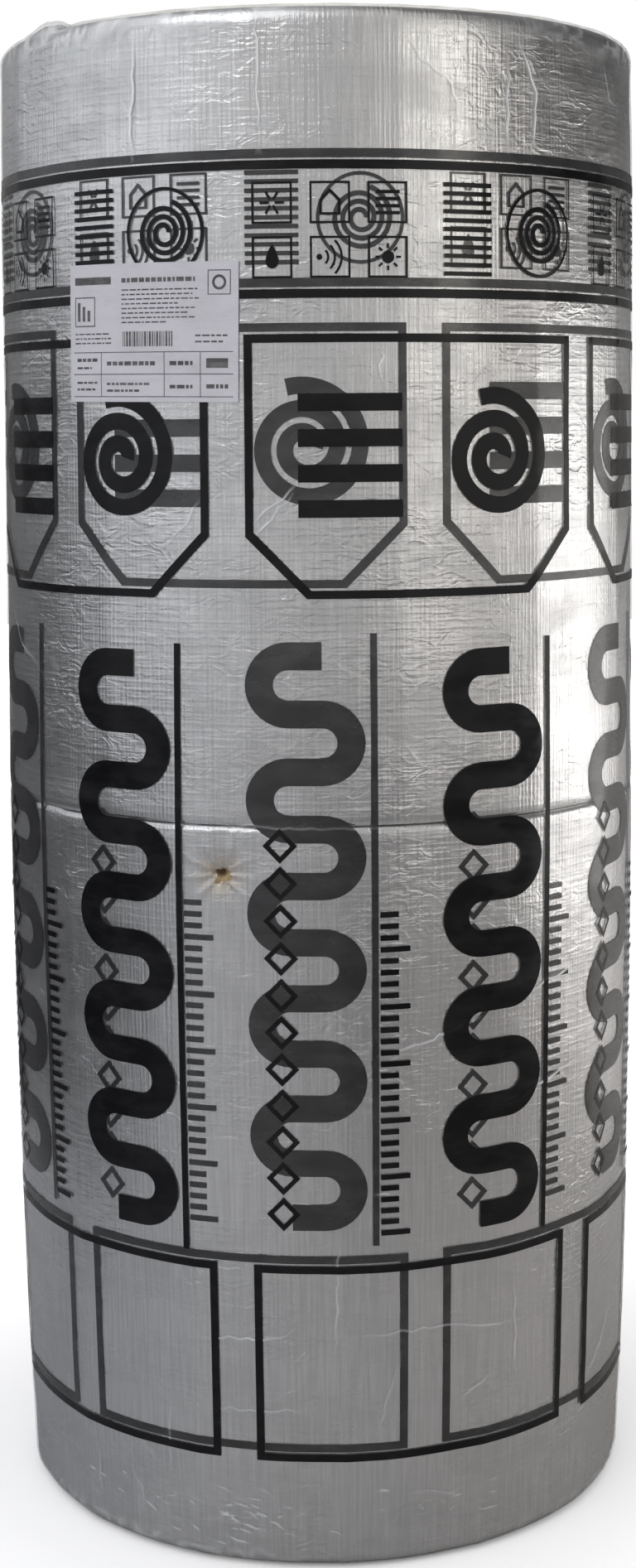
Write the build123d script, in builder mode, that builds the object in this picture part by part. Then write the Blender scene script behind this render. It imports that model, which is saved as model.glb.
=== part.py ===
"""Sales pack of foil-faced lamella mats: two mats wound foil outwards into rolls, stood end on end,
held by two turns of film whose ends fold over the rims, with a paper label on the film.
Millimetres, +Z up, origin at the centre of the foot, the label's side faces -Y."""

import math
import os

from build123d import *

# One mat as it lies flat: its length and its width across the lamellae
mat_length = 5000.0
mat_width = 600.0

# One wound roll: its radius over the foil, and the open eye that the mat is wound round
roll_radius = 263.0
eye_radius = 27.0

# The film presses each rim round over this height and depth, in two bevels that meet at these shares
rim_height = 16.0
rim_depth = 14.0
rim_shares = (0.29, 0.29)

# The edge where one roll meets the other is only a little broken
seam_break = 3.0

# The line between one turn of the mat and the next, a V where the cut edges of the wool curve in
turn_gap = 4.0
turn_gap_depth = 7.0

# The film: its gauge, its turns round the rolls, and the mouth it leaves open on each end
film_gauge = 0.12
film_turns = 2
mouth_radius = 187.0

# The label: its size and gauge, the height of its lower edge, and its angle left of the front
label_width = 152.0
label_height = 102.0
label_gauge = 0.2
label_rise = 918.0
label_angle_deg = 29.3

# How far a cutting band reaches past what it cuts
cut_overrun = 30.0

film_skin = film_gauge * film_turns
seam_height = film_skin + mat_width
top_height = seam_height + mat_width
flat_radius = roll_radius - rim_depth

# The mat's turns fill the ring from eye to skin, which gives their pitch when wound
turn_pitch = math.pi * (roll_radius**2 - eye_radius**2) / mat_length
half_pitch = turn_pitch / 2
half_turns = int((flat_radius - turn_gap - eye_radius) / half_pitch)

# The mat first lies on itself after one whole turn, so the line between turns starts there
first_half = 2

# Half a turn in degrees, and the front of the pack, which faces -Y, a quarter turn back from +X
half_circle = 180.0
front_turn = -90.0
label_span = math.degrees(label_width / (roll_radius + film_skin))
label_start = front_turn - label_angle_deg - label_span / 2

os.makedirs("parts", exist_ok=True)


def rim_points(height, way, skin):
    """Points of one rim from the side to the flat end; way is -1 at the foot and 1 at the top."""
    depth_share, height_share = rim_shares
    side_radius = roll_radius + skin
    end_height = height + way * skin
    return [
        (side_radius, height - way * rim_height),
        (side_radius - depth_share * rim_depth, end_height - way * height_share * rim_height),
        (flat_radius, end_height),
    ]


def pack_outline(skin=0):
    """Half section of both rolls together, grown outwards by a skin of film or paper."""
    with BuildSketch(Plane.XZ) as outline:
        with BuildLine():
            Polyline(
                (0, film_skin - skin),
                *reversed(rim_points(film_skin, -1, skin)),
                *rim_points(top_height, 1, skin),
                (0, top_height + skin),
                close=True,
            )
        make_face()
    return outline.sketch


def band_section(inner_radius, outer_radius, low, high):
    """Upright rectangle of a half section, from one radius to another and one height to another."""
    with BuildSketch(Plane.XZ) as band:
        with Locations((inner_radius, low)):
            Rectangle(outer_radius - inner_radius, high - low, align=(Align.MIN, Align.MIN))
    return band.sketch


def roll_section(low, high):
    """Half section of one roll from eye to skin, with the edge at the other roll broken."""
    with BuildSketch(Plane.XZ) as section:
        add(pack_outline())
        add(band_section(eye_radius, roll_radius + cut_overrun, low, high), mode=Mode.INTERSECT)
        seam_corner = section.vertices().sort_by_distance((roll_radius, seam_height))[0]
        chamfer(seam_corner, length=seam_break)
    return section.sketch


def cut_turns(end_height, way):
    """Cut the line between the turns into one end, a spiral of half circles; way points into the roll."""
    for half in range(first_half, half_turns):
        side = 1 if half % 2 else -1
        centre = side * half_pitch / 2
        line = centre - side * (eye_radius + half_pitch / 2 + half * half_pitch)
        with BuildSketch(Plane.XZ) as notch:
            with BuildLine():
                Polyline(
                    (line - turn_gap / 2, end_height),
                    (line + turn_gap / 2, end_height),
                    (line, end_height + way * turn_gap_depth),
                    close=True,
                )
            make_face()
        turn_axis = Axis((centre, 0, 0), (0, 0, 1))
        revolve(notch.sketch, axis=turn_axis, revolution_arc=half_circle, mode=Mode.SUBTRACT)


# Lower roll: turned from its half section, the turns of the mat cut into both ends
with BuildPart() as mat_roll_lower:
    add(roll_section(film_skin, seam_height))
    revolve(axis=Axis.Z)
    cut_turns(film_skin, 1)
    cut_turns(seam_height, -1)
mat_roll_lower.part.label = "mat_roll_lower"

# Upper roll: the same mat stood on the lower one
with BuildPart() as mat_roll_upper:
    add(roll_section(seam_height, top_height))
    revolve(axis=Axis.Z)
    cut_turns(seam_height, 1)
    cut_turns(top_height, -1)
mat_roll_upper.part.label = "mat_roll_upper"

# Film: a skin drawn tight over side and rims, open in the middle of each end
with BuildPart() as wrap_film:
    with BuildSketch(Plane.XZ) as film_section:
        add(pack_outline(film_skin))
        add(pack_outline(), mode=Mode.SUBTRACT)
        mouth = band_section(-cut_overrun, mouth_radius, -cut_overrun, top_height + cut_overrun)
        add(mouth, mode=Mode.SUBTRACT)
    revolve(axis=Axis.Z)
wrap_film.part.label = "wrap_film"

# Label: a patch of paper that follows the film's side
with BuildPart() as paper_label:
    with BuildSketch(Plane.XZ.rotated((0, 0, label_start))) as label_section:
        add(pack_outline(film_skin + label_gauge))
        add(pack_outline(film_skin), mode=Mode.SUBTRACT)
        label_top = label_rise + label_height
        label_band = band_section(eye_radius, roll_radius + cut_overrun, label_rise, label_top)
        add(label_band, mode=Mode.INTERSECT)
    revolve(axis=Axis.Z, revolution_arc=label_span)
paper_label.part.label = "paper_label"

for piece in (mat_roll_lower, mat_roll_upper, wrap_film, paper_label):
    export_step(piece.part, f"parts/{piece.part.label}.step")
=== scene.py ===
# %% [markdown]
# # A lamella insulation mat, wrapped as a sales pack of two rolls
# Strips of mineral wool are glued upright to aluminium foil, so the mat bends and isn't crushed.
# Two such mats are wound up with the foil outside, stood end on end, and held by two turns of
# printed clear film that fold over both rims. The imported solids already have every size, so this
# script only replaces their plain skins with foil, wool, film, print and paper.

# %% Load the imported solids
import math

import bmesh
import bpy
import numpy as np
from mathutils import Matrix, Vector, kdtree
from mathutils.geometry import delaunay_2d_cdt


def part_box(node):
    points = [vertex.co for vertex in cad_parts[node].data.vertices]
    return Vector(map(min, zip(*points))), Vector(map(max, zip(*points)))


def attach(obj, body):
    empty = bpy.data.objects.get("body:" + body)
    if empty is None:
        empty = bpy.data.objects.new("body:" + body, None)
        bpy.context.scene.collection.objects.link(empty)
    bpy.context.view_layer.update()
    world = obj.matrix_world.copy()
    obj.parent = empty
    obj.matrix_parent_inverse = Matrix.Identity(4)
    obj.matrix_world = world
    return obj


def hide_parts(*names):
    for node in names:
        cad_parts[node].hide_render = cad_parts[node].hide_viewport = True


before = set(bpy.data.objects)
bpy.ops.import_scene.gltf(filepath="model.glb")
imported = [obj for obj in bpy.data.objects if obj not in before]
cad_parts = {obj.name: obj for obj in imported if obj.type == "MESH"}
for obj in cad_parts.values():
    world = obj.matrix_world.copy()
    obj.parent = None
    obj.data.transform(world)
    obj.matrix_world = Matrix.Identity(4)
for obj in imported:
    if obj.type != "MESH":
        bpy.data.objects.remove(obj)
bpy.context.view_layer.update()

MM = 0.001
film_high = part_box("wrap_film")[1]
pack_radius = film_high.x / MM
pack_height = film_high.z / MM
seam_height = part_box("mat_roll_upper")[0].z / MM
half_girth = math.pi * pack_radius
print("solids:", sorted(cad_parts), "girth in mm:", round(2 * half_girth))

# %% [markdown]
# ## The camera
# The place of the camera was worked out from the photograph: the rings of the print are circles of
# known size, so their curves in the picture fix the distance, the height and the lens. The lens is
# given in picture points of a frame 768 wide and 1893 high, and Blender wants millimetres on a
# sensor whose long side is 36.

# %% Camera
photo_width, photo_height = 768, 1893
lens_points = 2817.2
centre_point_x = 387.3
eye_distance, eye_height = 1998.8, 898.7
tilt_down, lean = math.radians(8.706), math.radians(-0.444)

camera_data = bpy.data.cameras.new("camera")
camera_data.sensor_width = 36.0
camera_data.lens = lens_points / photo_height * camera_data.sensor_width
camera_data.shift_x = (photo_width / 2 - centre_point_x) / photo_height
camera = bpy.data.objects.new("camera", camera_data)
bpy.context.scene.collection.objects.link(camera)
camera.matrix_world = (
    Matrix.Translation((0, -eye_distance * MM, eye_height * MM))
    @ Matrix.Rotation(math.pi / 2 - tilt_down, 4, "X")
    @ Matrix.Rotation(lean, 4, "Z")
)
bpy.context.scene.camera = camera
print("lens in mm:", round(camera_data.lens, 2))

# %% [markdown]
# ## The studio
# Foil shows what stands round it, so the studio is part of its look. The camera sees a plain white
# world. Reflections see a dome of pale and grey panels instead, because a wall of even white would
# wash out every crumple. The panels stand in two rings, one at eye level and one above it, and each
# ring is a ramp from behind on the left, past the camera, to behind on the right. Three lamps join
# them: a large soft one above, a panel low on the right, and a small window that lights the rim.

# %% Small helpers for shader nodes
def add_node(tree, kind, inputs=None, **settings):
    """Add a shader node, set its settings, and give each input a value or a link."""
    made = tree.nodes.new(kind)
    for name, value in settings.items():
        setattr(made, name, value)
    for name, value in (inputs or {}).items():
        socket = made.inputs[name]
        if isinstance(value, bpy.types.NodeSocket):
            tree.links.new(value, socket)
        else:
            socket.default_value = value
    return made


def calc(tree, operation, *values):
    """One step of arithmetic between sockets and numbers."""
    return add_node(tree, "ShaderNodeMath", dict(enumerate(values)), operation=operation).outputs[0]


# %% Helpers for ranges, colours and shaders
def spread(tree, value, low, high, first=0.0, last=1.0, **settings):
    """A value moved from one range to another and held inside it."""
    ends = {0: value, 1: low, 2: high, 3: first, 4: last}
    return add_node(tree, "ShaderNodeMapRange", ends, **settings).outputs[0]


def mix(tree, share, first, second):
    """A colour between two others."""
    colours = {0: share, 6: first, 7: second}
    return add_node(tree, "ShaderNodeMix", colours, data_type="RGBA").outputs[2]


def lay_over(tree, share, below, above):
    """One shader over another."""
    shaders = {0: share, 1: below.outputs[0], 2: above.outputs[0]}
    return add_node(tree, "ShaderNodeMixShader", shaders)


def ramp(tree, share, stops):
    """A colour ramp through (place, grey or colour) stops."""
    made = add_node(tree, "ShaderNodeValToRGB", {0: share})
    while len(made.color_ramp.elements) < len(stops):
        made.color_ramp.elements.new(1.0)
    for element, (place, colour) in zip(made.color_ramp.elements, stops):
        element.position = place
        element.color = (*colour, 1) if isinstance(colour, tuple) else (colour, colour, colour, 1)
    return made.outputs[0]


# %% Panels round the pack
scene = bpy.context.scene
scene.view_settings.view_transform = "Standard"
world = bpy.data.worlds.new("studio")
scene.world = world
world.use_nodes = True
sky = world.node_tree
sky.nodes.clear()

high_panels = [  # degrees from the camera's side, left is minus, and how pale the dome is there
    (-180, 0.40), (-150, 0.30), (-126, 0.42), (-112, 0.74), (-84, 0.78), (-72, 0.66), (-58, 0.95),
    (-40, 0.54), (-24, 0.48), (-6, 0.48), (10, 0.38), (24, 0.52), (42, 0.88), (54, 0.36),
    (75, 0.12), (100, 0.03), (140, 0.03), (165, 0.12), (180, 0.40),
]
level_panels = [
    (-180, 0.40), (-160, 0.10), (-124, 0.08), (-102, 0.10), (-86, 0.38), (-72, 0.62), (-58, 0.58),
    (-42, 0.68), (-22, 0.52), (-4, 0.51), (10, 0.51), (24, 0.68), (42, 1.0), (54, 0.80),
    (68, 0.92), (95, 0.40), (120, 0.26), (138, 0.22), (152, 0.20), (166, 0.16), (180, 0.40),
]


def tinted(panels):
    """Stops of a ramp: a little cool on the left, warm on the right."""
    stops = []
    for angle, pale in panels:
        warmth = 0.012 + 0.035 * math.sin(math.radians(angle))
        stops.append((0.5 + angle / 360, (pale * (1 + warmth), pale, pale * (1 - 1.4 * warmth))))
    return stops


def round_the_pack(tree, vector, panels):
    """Colour by the direction round the pack."""
    split = add_node(tree, "ShaderNodeSeparateXYZ", {0: vector})
    ahead = calc(tree, "MULTIPLY", split.outputs["Y"], -1.0)
    turn = calc(tree, "ARCTAN2", split.outputs["X"], ahead)
    return ramp(tree, calc(tree, "MULTIPLY_ADD", turn, 0.5 / math.pi, 0.5), tinted(panels))


# %% Studio dome
direction = add_node(sky, "ShaderNodeTexCoord").outputs["Generated"]
rise = add_node(sky, "ShaderNodeSeparateXYZ", {0: direction}).outputs["Z"]
upper = spread(sky, rise, 0.03, 0.13, interpolation_type="SMOOTHSTEP")
level_ring = round_the_pack(sky, direction, level_panels)
high_ring = round_the_pack(sky, direction, high_panels)
path = add_node(sky, "ShaderNodeLightPath")
plain = add_node(sky, "ShaderNodeBackground", {"Color": (0.98, 0.98, 1.0, 1), "Strength": 0.95})
dome = mix(sky, upper, level_ring, high_ring)
panels = add_node(sky, "ShaderNodeBackground", {"Color": dome, "Strength": 1.0})
white = add_node(sky, "ShaderNodeBackground", {"Color": (1, 1, 1, 1), "Strength": 1.0})
reflected = lay_over(sky, path.outputs["Is Glossy Ray"], plain, panels)
seen = calc(sky, "MAXIMUM", path.outputs["Is Camera Ray"], path.outputs["Is Transmission Ray"])
add_node(sky, "ShaderNodeOutputWorld", {0: lay_over(sky, seen, reflected, white).outputs[0]})
print("dome panels:", len(high_panels) + len(level_panels))

# %% Lamps
def soft_lamp(name, place, size, watts, colour=(1, 1, 1), aim=(0, 0, 0.65)):
    """A rectangular lamp that faces the pack and stays out of the picture."""
    data = bpy.data.lights.new(name, "AREA")
    data.shape = "RECTANGLE"
    data.size, data.size_y = size
    data.energy = watts
    data.color = colour
    lamp = bpy.data.objects.new(name, data)
    scene.collection.objects.link(lamp)
    lamp.location = place
    lamp.rotation_euler = (Vector(aim) - Vector(place)).to_track_quat("-Z", "Y").to_euler()
    lamp.visible_camera = False
    return lamp


soft_lamp("key_lamp", (-1.5, -2.4, 3.4), (2.7, 2.7), 30)
soft_lamp("right_panel", (2.28, 0.40, 0.56), (1.8, 1.00), 7.4, (1.0, 0.98, 0.95), (0, 0, 0.60))
soft_lamp("warm_window", (1.52, -1.46, 1.40), (0.30, 0.60), 0.8, (1.0, 0.97, 0.88), (0, 0, 1.1))

# %% [markdown]
# ## The floor
# The floor is a plain pale disc. Seen straight from the camera it is lifted to white, so that it
# joins the white world without a horizon, and only the pack's shadow is left on it. The foil
# mirrors a darker floor, with panels like those of the dome, and that is why the lower half of the
# pack looks darker.

# %% Floor
floor_mesh = bpy.data.meshes.new("floor")
floor_build = bmesh.new()
bmesh.ops.create_circle(floor_build, cap_ends=True, segments=96, radius=9.0)
floor_build.to_mesh(floor_mesh)
floor_build.free()
floor = bpy.data.objects.new("floor", floor_mesh)
scene.collection.objects.link(floor)

floor_paint = bpy.data.materials.new("floor_paint")
floor_paint.use_nodes = True
tree = floor_paint.node_tree
tree.nodes.clear()
path = add_node(tree, "ShaderNodeLightPath")
spot = add_node(tree, "ShaderNodeTexCoord").outputs["Object"]
floor_panels = [
    (-180, 0.25), (-150, 0.06), (-95, 0.05), (-75, 0.08), (-60, 0.17), (-44, 0.36), (-22, 0.33),
    (-5, 0.25), (10, 0.15), (25, 0.15), (42, 0.24), (58, 0.16), (78, 0.24), (100, 0.50),
    (125, 0.55), (140, 0.42), (156, 0.16), (180, 0.25),
]
near_panels = [
    (-180, 0.28), (-125, 0.27), (-92, 0.25), (-62, 0.285), (-34, 0.325), (-8, 0.30), (17, 0.275),
    (43, 0.275), (69, 0.30), (97, 0.265), (126, 0.30), (180, 0.28),
]
away = add_node(tree, "ShaderNodeVectorMath", {0: spot}, operation="LENGTH").outputs["Value"]
near_tone = round_the_pack(tree, spot, near_panels)
far_tone = round_the_pack(tree, spot, floor_panels)
tone = mix(tree, spread(tree, away, 0.95, 1.4), near_tone, far_tone)
grey = add_node(tree, "ShaderNodeBsdfDiffuse", {"Color": tone})
pale = add_node(tree, "ShaderNodeBsdfDiffuse", {"Color": (0.92, 0.92, 0.92, 1)})
lifted = spread(tree, away, 0.3, 2.2, 0.12, 1.0)
lift = add_node(tree, "ShaderNodeEmission", {"Color": (1, 1, 1, 1), "Strength": lifted})
pale_lifted = add_node(tree, "ShaderNodeAddShader", {0: pale.outputs[0], 1: lift.outputs[0]})
shown = lay_over(tree, path.outputs["Is Camera Ray"], grey, pale_lifted)
add_node(tree, "ShaderNodeOutputMaterial", {0: shown.outputs[0]})
floor_mesh.materials.append(floor_paint)
print("floor corners:", len(floor_mesh.vertices))

# %% [markdown]
# ## The shape of the wound pack
# A tight pack is a little fatter at mid height than at its ends. The numbers below were measured on
# the photograph's outline. The strips of wool stay nearly flat while the joints between them bend,
# so the skin has a soft corner about every 118 mm. All relief is written as functions of the place
# on the unrolled skin: arc, the distance round from the front, and height. Foil, film and label use
# the same functions, so they lie on each other from every side.

# %% Relief of the skin
swell_heights = [0, 80, 150, 280, 400, 520, 600, 700, 800, 920, 1050, 1130, 1200]
swell_radii = [
    258.0, 261.2, 262.9, 264.9, 266.1, 266.7, 266.6, 265.0, 263.2, 261.6, 260.3, 258.8, 257.0,
]
strip_count = 14
strip_width = 2 * half_girth / strip_count
upper_joint, lower_joint = -55.0, 15.0
puncture_arc, puncture_height = -77.0, 563.0
star_reach, dent_reach = 34.0, 13
relief_below, relief_span = 200, 1700  # random relief starts below the foot and ends past the top


def drift(arc, height, seed, wide, tall):
    """Smooth random relief from -1 to 1, in swells of about this size, closed round the pack."""
    columns = max(3, round(2 * half_girth / wide))
    rows = int(relief_span / tall) + 4
    knots = np.random.default_rng(seed).uniform(-1, 1, (rows, columns))
    across = (arc + half_girth) / (2 * half_girth) * columns
    along = (height + relief_below) / tall
    col, row = np.floor(across).astype(int), np.clip(np.floor(along).astype(int), 0, rows - 2)
    a, b = across - col, np.clip(along - row, 0, 1)
    a, b = a * a * (3 - 2 * a), b * b * (3 - 2 * b)
    left, right = col % columns, (col + 1) % columns
    low = knots[row, left] * (1 - a) + knots[row, right] * a
    high = knots[row + 1, left] * (1 - a) + knots[row + 1, right] * a
    return low * (1 - b) + high * b


def crumple(arc, height, seed, folds, shortest, longest):
    """Relief of a crumpled sheet from 0 to 1: straight folds of many directions, added up."""
    rng = np.random.default_rng(seed)
    total, most = 0.0, 0.0
    bend = 9 * drift(arc, height, seed + 1, 90, 90)
    for _ in range(folds):
        length = math.exp(rng.uniform(math.log(shortest), math.log(longest)))
        slant = rng.uniform(0, math.pi)
        turns = round(math.cos(slant) * 2 * half_girth / length)
        phase = turns * arc / (2 * half_girth) + (math.sin(slant) * height + bend) / length
        phase = phase + rng.random()
        total = total + length * np.abs(2 * (phase % 1) - 1)
        most += length
    return total / most


def flats(arc, joint):
    """How far the skin stands out at the joints between flat strips of wool."""
    place = ((arc - joint) / strip_width) % 1
    return np.abs(2 * place - 1) ** 5 - 0.25


def swell(arc, height):
    """Radius of the pack before any crumples."""
    upper = np.clip((height - seam_height) / 90 + 0.5, 0, 1)
    radius = np.interp(height, swell_heights, swell_radii)
    radius = radius + flats(arc, lower_joint) * (1 - upper) + flats(arc, upper_joint) * upper
    return radius + 0.7 * drift(arc, height, 3, 240, 260) + 0.9 * drift(arc, height, 5, 52, 420)


# %% Relief that has its own place
def bell(distance, reach):
    """From 1 in the middle to nearly 0 at twice the reach."""
    return np.exp(-((distance / reach) ** 2))


def from_puncture(arc, height):
    """Distance from the puncture."""
    return np.hypot(arc - puncture_arc, height - puncture_height)


def by_rim(height):
    """From 0 on the side to 1 in the last millimetres before a rim."""
    return np.clip((height - pack_height + 26) / 14, 0, 1) + np.clip((20 - height) / 14, 0, 1)


def crinkles(arc, height, seed, wide, tall):
    """Thin wandering lines, from 0 between them to 1 on a line."""
    return np.clip(1 - np.abs(drift(arc, height, seed, wide, tall)) / 0.28, 0, 1)


def star(arc, height):
    """Creases that run out of the puncture like rays."""
    away = from_puncture(arc, height)
    turn = np.arctan2(height - puncture_height, arc - puncture_arc)
    ray = (1 - np.abs(np.sin(4.5 * turn + 0.6 + 0.5 * np.sin(2 * turn)))) ** 1.5
    faded = ray * np.exp(-away / 19) * np.clip(away / 5, 0, 1)
    return faded * np.clip((star_reach - away) / 12, 0, 1)


def peak(arc, inward, tilt):
    """A corner of the rim that sticks up."""
    profile = np.interp(arc, [-292, -255, -237, -229], [0, 1, 0.75, 0])
    return profile * bell(inward - 9, 9) * np.clip(inward / 4, 0, 1) * (tilt > 0)


print("strips of wool round the skin:", strip_count, "each", round(strip_width, 1), "mm")

# %% Line of the skin over the rims
def skin_line(along, low, high, low_round, high_round):
    """Height, inward step and tilt of a skin that goes up the side and turns in over both rims."""
    height = np.array(along, float)
    inward, tilt = np.zeros_like(height), np.zeros_like(height)
    for end, rounding, way in ((low, low_round, -1), (high, high_round, 1)):
        past = way * (np.asarray(along) - end) + rounding
        angle = np.clip(past / rounding, 0, math.pi / 2)
        over = np.clip(past - rounding * math.pi / 2, 0, None)
        turned = past > 0
        height = np.where(turned, end - way * rounding * (1 - np.sin(angle)), height)
        inward = np.where(turned, rounding * (1 - np.cos(angle)) + over, inward)
        tilt = np.where(turned, way * angle, tilt)
    return height, inward, tilt


def wrap(arc, height, inward, tilt, out):
    """Points in space, in metres, of skin places that stand this far out along the skin's tilt."""
    radius = swell(arc, height) - inward + out * np.cos(tilt)
    angle = arc / pack_radius
    rise = height + out * np.sin(tilt)
    return np.stack([radius * np.sin(angle), -radius * np.cos(angle), rise], axis=1) * MM


# %% [markdown]
# ## Cutting sheets with lines in them
# Print, folds and holes have edges at any angle, and a square grid would make them jagged. Instead
# every sheet is triangulated flat, with the outlines as fixed lines (a constrained Delaunay
# triangulation), and only then wrapped onto the pack. Each triangle remembers the outlines that it
# lies in, which tells ink from clear film.

# %% Points and lines on the flat
def pairs(across, up):
    """Points from two rows of numbers."""
    return np.stack([across, up], axis=1)


def spokes(across, up, radius, angle):
    """Points at these distances and angles from a middle."""
    return pairs(across + radius * np.cos(angle), up + radius * np.sin(angle))


def beside(line, shift):
    """A line that runs beside another one."""
    run = np.gradient(line, axis=0)
    run /= np.hypot(*run.T)[:, None]
    return line + shift * pairs(-run[:, 1], run[:, 0])


def dense(line, step, closed=True):
    """The same line with extra points, so that no step is longer than asked."""
    points = np.asarray(line, float)
    after = np.roll(points, -1, axis=0) if closed else points[1:]
    before = points if closed else points[:-1]
    pieces = []
    for start, stop in zip(before, after):
        count = max(1, int(math.ceil(np.hypot(*(stop - start)) / step)))
        pieces.append(start + (stop - start) * (np.arange(count) / count)[:, None])
    if not closed:
        pieces.append(points[-1:])
    return np.concatenate(pieces)


def honeycomb(left, right, low, high, spacing):
    """Points of a triangular grid that fills a rectangle."""
    rows = np.arange(low, high, spacing * math.sqrt(0.75))
    columns = np.arange(left, right, spacing)
    across, up = np.meshgrid(columns, rows)
    across = across + (np.arange(len(rows)) % 2)[:, None] * spacing / 2
    return pairs(across.ravel(), up.ravel())


# %% Flat triangulation
def turns_left(loop):
    """Whether an outline runs anticlockwise, as the triangulation wants it."""
    ahead = np.roll(loop, -1, axis=0)
    return (loop[:, 0] * ahead[:, 1] - ahead[:, 0] * loop[:, 1]).sum() > 0


def triangulate(loops, lines, loose, clearance):
    """Triangles over loops, fixed lines and loose points that keep clear of both.
    Returns the points, the triangles, and for each triangle the loops that it lies in."""
    loops = [loop if turns_left(loop) else loop[::-1] for loop in loops]
    fixed = np.concatenate([*loops, *lines])
    tree = kdtree.KDTree(len(fixed))
    for index, point in enumerate(fixed):
        tree.insert((point[0], point[1], 0), index)
    tree.balance()
    kept = [point for point in loose.tolist() if tree.find((*point, 0))[2] > clearance]
    faces, edges, start = [], [], 0
    for loop in loops:
        faces.append(list(range(start, start + len(loop))))
        start += len(loop)
    for line in lines:
        edges += [(i, i + 1) for i in range(start, start + len(line) - 1)]
        start += len(line)
    corners = [Vector(point) for point in fixed.tolist() + kept]
    points, _, triangles, _, _, owners = delaunay_2d_cdt(corners, edges, faces, 0, 1e-5)
    points = np.array([tuple(point) for point in points])
    return points, np.array(triangles), [set(owner) for owner in owners]


# %% Mesh from points and faces
def make_piece(name, points, faces, flat, materials, which=None):
    """A smooth mesh object; flat has a flat place for each corner of each face, for its UV map."""
    mesh = bpy.data.meshes.new(name)
    mesh.from_pydata(points.tolist(), [], faces.tolist())
    for material in materials:
        mesh.materials.append(material)
    layer = mesh.uv_layers.new(name="unrolled")
    layer.data.foreach_set("uv", (flat.reshape(-1, 2) * MM).astype(np.float32).ravel())
    if which is not None:
        mesh.polygons.foreach_set("material_index", which.astype(np.int32))
    mesh.polygons.foreach_set("use_smooth", np.ones(len(mesh.polygons), bool))
    piece = bpy.data.objects.new(name, mesh)
    scene.collection.objects.link(piece)
    return piece


def weld(piece, reach=0.02 * MM):
    """Join corners that lie in the same place."""
    build = bmesh.new()
    build.from_mesh(piece.data)
    bmesh.ops.remove_doubles(build, verts=build.verts, dist=reach)
    bmesh.ops.recalc_face_normals(build, faces=build.faces)
    build.to_mesh(piece.data)
    build.free()
    print(piece.name, "faces:", len(piece.data.polygons))
    return piece


# %% [markdown]
# ## Shared finishes
# The foil carries a net of fine creases, and everything that was handled is a little
# scuffed. Each effect is made once as a node group and placed in the materials with its own values.
# The groups read the unrolled map, so their grain has a real size in metres.

# %% Node group helper
def new_group(name, inputs, outputs):
    """An empty shader node group with number inputs, and its two end nodes."""
    group = bpy.data.node_groups.new(name, "ShaderNodeTree")
    for label, value in inputs:
        socket = group.interface.new_socket(label, in_out="INPUT", socket_type="NodeSocketFloat")
        socket.default_value = value
    for label in outputs:
        group.interface.new_socket(label, in_out="OUTPUT", socket_type="NodeSocketFloat")
    return group, group.nodes.new("NodeGroupInput"), group.nodes.new("NodeGroupOutput")


def place_group(tree, group, **values):
    """A group placed in a material with its own values."""
    return add_node(tree, "ShaderNodeGroup", values, node_tree=group)


def unrolled(tree, across=1.0, along=1.0):
    """Places on the unrolled skin, stretched."""
    flat = add_node(tree, "ShaderNodeUVMap", uv_map="unrolled").outputs[0]
    stretched = {"Vector": flat, "Scale": (across, along, 1)}
    return add_node(tree, "ShaderNodeMapping", stretched).outputs[0]


def grain(tree, scale, across=1.0, along=1.0, detail=2.0, **inputs):
    """Cloudy noise on the unrolled skin, stretched."""
    inputs.update(Vector=unrolled(tree, across, along), Scale=scale, Detail=detail)
    return add_node(tree, "ShaderNodeTexNoise", inputs, noise_dimensions="2D").outputs[0]


# %% Fine creases
fine_creases, ends_in, ends_out = new_group(
    "fine_creases", [("Size", 60.0), ("Sharpness", 9.0)], ["Height", "Line"]
)
swells = grain(fine_creases, ends_in.outputs["Size"], 0.62, Distortion=0.6)
from_middle = calc(fine_creases, "ABSOLUTE", calc(fine_creases, "SUBTRACT", swells, 0.5))
edge = calc(fine_creases, "MULTIPLY", from_middle, ends_in.outputs["Sharpness"])
line = calc(fine_creases, "MAXIMUM", calc(fine_creases, "SUBTRACT", 1.0, edge), 0.0)
height = calc(fine_creases, "MULTIPLY_ADD", line, 0.5, swells)
fine_creases.links.new(height, ends_out.inputs["Height"])
fine_creases.links.new(line, ends_out.inputs["Line"])

# %% Scuffs
scuffs, ends_in, ends_out = new_group("scuffs", [("Size", 25.0), ("Amount", 0.5)], ["Mask"])
cloud = grain(scuffs, ends_in.outputs["Size"], 0.4, detail=3.0, Roughness=0.7)
cloud = spread(scuffs, cloud, 0.4, 0.75)
mask = calc(scuffs, "MULTIPLY", cloud, ends_in.outputs["Amount"])
scuffs.links.new(mask, ends_out.inputs["Mask"])
print("node groups:", [group.name for group in bpy.data.node_groups])

# %% [markdown]
# ## Foil and wool
# The facing is aluminium foil on a net of glass threads, and the threads show through as a fine
# grid. Metal has no colour of its own beside its mirror, so nearly all of the look comes from
# roughness and relief. Mineral wool is a felt of fine yellow fibres that stand upright on the foil.

# %% Material helper
def new_material(name, colour, roughness, metallic=0.0, **inputs):
    """A material with one Principled shader; returns the material, its tree and the shader."""
    material = bpy.data.materials.new(name)
    material.use_nodes = True
    tree = material.node_tree
    shader = tree.nodes["Principled BSDF"]
    shader.inputs["Base Color"].default_value = (*colour, 1)
    shader.inputs["Roughness"].default_value = roughness
    shader.inputs["Metallic"].default_value = metallic
    for label, value in inputs.items():
        shader.inputs[label.replace("_", " ")].default_value = value
    material.diffuse_color = (*colour, 1)
    return material, tree, shader


def paint(tree, shader, share, first, second):
    """Base colour between two others."""
    tree.links.new(mix(tree, share, first, second), shader.inputs["Base Color"])


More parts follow.
